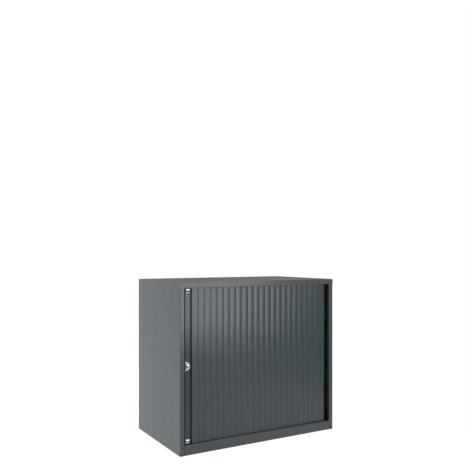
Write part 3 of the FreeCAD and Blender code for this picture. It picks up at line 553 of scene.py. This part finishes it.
# mm out from the middle and from the back, from the edge of the head to its hollow
RIVET_HEAD = [(3.2, 0), (3.2, 0.3), (2.7, 0.65), (1.9, 0.88), (1.1, 0.95), (0.9, 0.4), (AXIS, 0.4)]
rivets = bmesh.new()
back_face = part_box("back_panel")[1].y
for n in range(RIVETS):
    middle = (n / (RIVETS - 1) - 0.5) * RIVET_SPAN * MM
    rings = [[rivets.verts.new((middle + radius * MM * math.cos(turn), back_face + out * MM,
                                (RIVET_Z + radius * math.sin(turn)) * MM)) for turn in RIVET_SIDES]
             for radius, out in RIVET_HEAD]
    close_rings(rivets, rings)
    rivets.faces.new(rings[0])
    rivets.faces.new(rings[-1])
as_piece(rivets, "back_rivets", [zinc], "cabinet", [], sharp=50)


# The closing buffers and track stops. Moulded black rubber: two round buffers on the left inner
# return, which the stile closes on, and a block in the far end of each track's groove.

# Black rubber: dull, dark and a little grainy
RUBBER_DARK, RUBBER_LIGHT, RUBBER_ROUGH = "#141414", "#1b1b1b", 0.7
RUBBER_GRAIN, RUBBER_GRAIN_HEIGHT = 1, 0.03     # mm, drawn coarser than the real 0.2 mm to show
rubber, tree, out = surface("moulded_rubber_black")
place = add(tree, "TexCoord").outputs["Object"]
fine = add(tree, "TexNoise", {"Scale": per_metre(RUBBER_GRAIN), "Detail": 3}, {"Vector": place})
shade = add(tree, "ValToRGB", links={"Fac": fine.outputs["Fac"]},
            stops=[(NOISE_LOW, RUBBER_DARK), (NOISE_HIGH, RUBBER_LIGHT)])
grain = add(tree, "Bump", {"Strength": 1, "Distance": RUBBER_GRAIN_HEIGHT * MM},
            {"Height": fine.outputs["Fac"]})
moulded = add(tree, "BsdfPrincipled", {"IOR": 1.52, "Roughness": RUBBER_ROUGH}, {
    "Base Color": shade.outputs["Color"], "Normal": grain.outputs["Normal"]})
tree.links.new(moulded.outputs["BSDF"], out.inputs["Surface"])
finish_nodes(rubber, ["closing_buffers", "track_stops"])


# The levelling feet. Turned steel, zinc plated: a disc on a thin rubber pad, a hexagon for the
# spanner and an M8 stem that is screwed up through a nut under the deck. Profiles are mm out
# from the middle and mm up, from foot to head.
FOOT_PAD = [(AXIS, 0), (14.2, 0), (14.6, 0.4), (14.6, 1.8), (AXIS, 1.8)]
FOOT_DISC = [(AXIS, 1.8), (14.6, 1.8), (15, 2.2), (15, 3.6), (14.6, 4), (13.6, 4.3), (6, 7.4),
             (AXIS, 7.4)]
FOOT_CORE = [(AXIS, 7), (3.3, 7), (3.3, 35.5), (2.8, 36), (AXIS, 36)]
FOOT_SIDES = turns[::4]
SPANNER_HEX, HEX_LOW, HEX_HIGH = 6, 7.2, 12     # mm to its corners, and mm up
THREAD_FORM = [(3.25, 0), (4, 0.5), (4, 0.65)]  # for one turn
THREAD_PITCH, THREAD_LOW = 1.25, 12.4           # mm
THREAD_TURNS, THREAD_SIDES = 17, 24


def turned(mesh, profile, middle, finish):
    """A turned solid about an upright axis, from its profile."""
    rings = [[mesh.verts.new((middle[0] + out * MM * math.cos(turn),
                              middle[1] + out * MM * math.sin(turn), up * MM))
              for turn in FOOT_SIDES] for out, up in profile]
    made = len(mesh.faces)
    close_rings(mesh, rings)
    mesh.faces.new(rings[0])
    mesh.faces.new(rings[-1])
    for face in list(mesh.faces)[made:]:
        face.material_index = finish


def thread(mesh, middle):
    """One spiral ridge round the stem, closed where it starts and runs out."""
    rows = []
    for row in range(THREAD_TURNS * len(THREAD_FORM)):
        out, up = THREAD_FORM[row % len(THREAD_FORM)]
        foot = THREAD_LOW + up + THREAD_PITCH * (row // len(THREAD_FORM))
        rows.append([mesh.verts.new((
            middle[0] + out * MM * math.cos(math.tau * n / THREAD_SIDES),
            middle[1] + out * MM * math.sin(math.tau * n / THREAD_SIDES),
            (foot + THREAD_PITCH * n / THREAD_SIDES) * MM)) for n in range(THREAD_SIDES)])
    made = []
    for row, (lower, upper) in enumerate(zip(rows, rows[1:])):
        for n in range(THREAD_SIDES - 1):
            made.append(mesh.faces.new((lower[n], lower[n + 1], upper[n + 1], upper[n])))
        after = row + len(THREAD_FORM)
        if after + 1 < len(rows):
            made.append(mesh.faces.new((lower[-1], rows[after][0], rows[after + 1][0], upper[-1])))
    rims = [edge for face in made for edge in face.edges if edge.is_boundary]
    bmesh.ops.holes_fill(mesh, edges=rims)


for index in range(1, 5):
    low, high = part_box(f"levelling_foot_{index}")
    middle = ((low.x + high.x) / 2, (low.y + high.y) / 2)
    foot = bmesh.new()
    turned(foot, FOOT_PAD, middle, 1)
    turned(foot, FOOT_DISC, middle, 0)
    turned(foot, FOOT_CORE, middle, 0)
    hexagon = arc(middle, SPANNER_HEX * MM, 0, 300, 5)
    run_up(foot, hexagon, HEX_LOW * MM, HEX_HIGH * MM)
    thread(foot, middle)
    as_piece(foot, f"foot_turned_{index}", [zinc, rubber], f"foot_{index}",
             [f"levelling_foot_{index}"])


# The studio: white paper, a softbox in front and one on the left. The floor is white to the
# camera and in reflections, and keeps the cabinet's shadow.
FLOOR_REACH = 9                                 # m from the middle to each edge
PAPER_WHITE, PAPER_SHOWN, PAPER_GLOW = "#e6e6e6", "#5e5e5e", 0.975
ROOM_LIGHT, BACKDROP_LIGHT = 0.2, 1.0


def seen_by(tree):
    """1 for camera, glossy and transmission rays, and 0 for the rest."""
    path = add(tree, "LightPath")
    either = add(tree, "Math", {"operation": "MAXIMUM"}, {0: path.outputs["Is Camera Ray"],
                                                          1: path.outputs["Is Glossy Ray"]})
    return add(tree, "Math", {"operation": "MAXIMUM"},
               {0: either.outputs[0], 1: path.outputs["Is Transmission Ray"]}).outputs[0]


def flat_sheet(name, corners, material):
    """A flat four-cornered sheet for the studio."""
    data = bpy.data.meshes.new(name)
    data.from_pydata(corners, [], [(0, 1, 2, 3)])
    data.materials.append(material)
    sheet = bpy.data.objects.new(name, data)
    bpy.context.scene.collection.objects.link(sheet)
    sheet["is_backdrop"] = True
    return sheet


# Matt white paper: it looks lit to white all over, and still takes a soft grey shadow
paper, tree, out = surface("matt_white_paper")
shown = seen_by(tree)
shaded = add(tree, "BsdfDiffuse", {"Color": linear(PAPER_SHOWN)})
glow = add(tree, "Emission", {"Color": linear("#ffffff"), "Strength": PAPER_GLOW})
bright = add(tree, "AddShader", links={0: shaded.outputs[0], 1: glow.outputs[0]})
plain = add(tree, "BsdfDiffuse", {"Color": linear(PAPER_WHITE)})
both = add(tree, "MixShader", links={0: shown, 1: plain.outputs[0], 2: bright.outputs[0]})
tree.links.new(both.outputs[0], out.inputs["Surface"])
flat_sheet("floor", [(-FLOOR_REACH, -FLOOR_REACH, 0), (FLOOR_REACH, -FLOOR_REACH, 0),
                     (FLOOR_REACH, FLOOR_REACH, 0), (-FLOOR_REACH, FLOOR_REACH, 0)], paper)

world = bpy.data.worlds.new("studio_air")
bpy.context.scene.world = world
world.use_nodes = True
world.node_tree.nodes.clear()
tree = world.node_tree
shown = seen_by(tree)
room = add(tree, "Background", {"Color": linear("#ffffff"), "Strength": ROOM_LIGHT})
backdrop = add(tree, "Background", {"Color": linear("#ffffff"), "Strength": BACKDROP_LIGHT})
both = add(tree, "MixShader", links={0: shown, 1: room.outputs[0], 2: backdrop.outputs[0]})
tree.links.new(both.outputs[0], add(tree, "OutputWorld").inputs["Surface"])


def softbox(name, size, at, aim, radiance):
    """A rectangular lamp, m wide and high, unseen by the camera and in reflections."""
    lamp = bpy.data.lights.new(name, "AREA")
    lamp.shape, lamp.size, lamp.size_y = "RECTANGLE", size[0], size[1]
    lamp.energy = radiance * math.pi * size[0] * size[1]
    holder = bpy.data.objects.new(name, lamp)
    bpy.context.scene.collection.objects.link(holder)
    holder.location = at
    holder.rotation_euler = (Vector(aim) - Vector(at)).to_track_quat("-Z", "Y").to_euler()
    holder.visible_camera = holder.visible_glossy = False


softbox("front_softbox", (1.4, 1.09), (0.13, -1.535, 0.825), (0.13, 0, 0.825), 3.55)
softbox("side_softbox", (1.8, 1.6), (-2.2, 0.45, 1.0), (-0.4, 0.2, 0.4), 3.45)


def card(name, brightness, corners):
    """A card of a given brightness that only reflections see."""
    face, tree, out = surface(name + "_face")
    dim = add(tree, "Emission", {"Color": linear("#ffffff"), "Strength": brightness})
    tree.links.new(dim.outputs[0], out.inputs["Surface"])
    sheet = flat_sheet(name, corners, face)
    sheet.visible_camera = sheet.visible_diffuse = False
    sheet.visible_shadow = sheet.visible_transmission = False


def upright(y, x, z):
    """The corners of a card that faces the cabinet's front or back."""
    return [(x[0], y, z[0]), (x[1], y, z[0]), (x[1], y, z[1]), (x[0], y, z[1])]


def lying(x, y, z):
    """The corners of a level card."""
    return [(x[0], y[0], z), (x[1], y[0], z), (x[1], y[1], z), (x[0], y[1], z)]


# What the satin steel, the slats and the chrome mirror, in metres: the lower part of the softbox
# in front, dark flags low in front, at the sides and behind, a paler card above them and a
# bright one overhead, and dim sheets lying on the paper in front, painted shade on the floor
# that only reflections see
card("softbox_front", 3.9, upright(-1.535, (-0.57, 0.83), (0.28, 0.76)))
card("front_flag", 0.13, upright(-2.3, (-3, 4), (0, 0.5)))
card("left_flag", 0.24, upright(-1.5, (-3.5, -0.32), (0, 0.9)))
card("right_flag", 0.5, upright(-1.7, (1.4, 4.5), (0.3, 0.8)))
card("rear_flag", 0.195, upright(2.2, (-0.75, 5), (0.4, 1.4)))
card("rear_left_flag", 0.3, upright(2.2, (-4, -0.75), (0.9, 1.7)))
card("high_flag", 0.8, upright(-1.5, (-3.5, 4.5), (0.77, 1.7)))
card("overhead_card", 2.2, lying((-3, 1), (-3, 0), 2.3))
# Painted shade on the floor in front, seen only in reflections
card("far_floor_card", 0.83, lying((-3, 0.9), (-2.3, -0.95), 0.003))
card("right_floor_card", 0.5, lying((0.9, 4), (-2.3, -0.6), 0.003))


# The camera: level, at table height, well to the left of the front. It stands where the seven
# corners in view fall on their places in the photograph.
CAMERA_AT = (-1426.96, -2450.11, 823.6)         # mm
CAMERA_TURN = 30.07                             # degrees to the right
LENS, SENSOR, LENS_RISE = 45.57, 36, 0.0479     # mm, mm, and a share of the picture's width
lens = bpy.data.cameras.new("camera")
lens.sensor_width, lens.lens, lens.shift_y = SENSOR, LENS, LENS_RISE
camera = bpy.data.objects.new("camera", lens)
bpy.context.scene.collection.objects.link(camera)
camera.location = [place * MM for place in CAMERA_AT]
camera.rotation_euler = (math.radians(90), 0, math.radians(-CAMERA_TURN))
bpy.context.scene.camera = camera
bpy.context.scene.view_settings.view_transform = "Standard"

low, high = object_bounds()
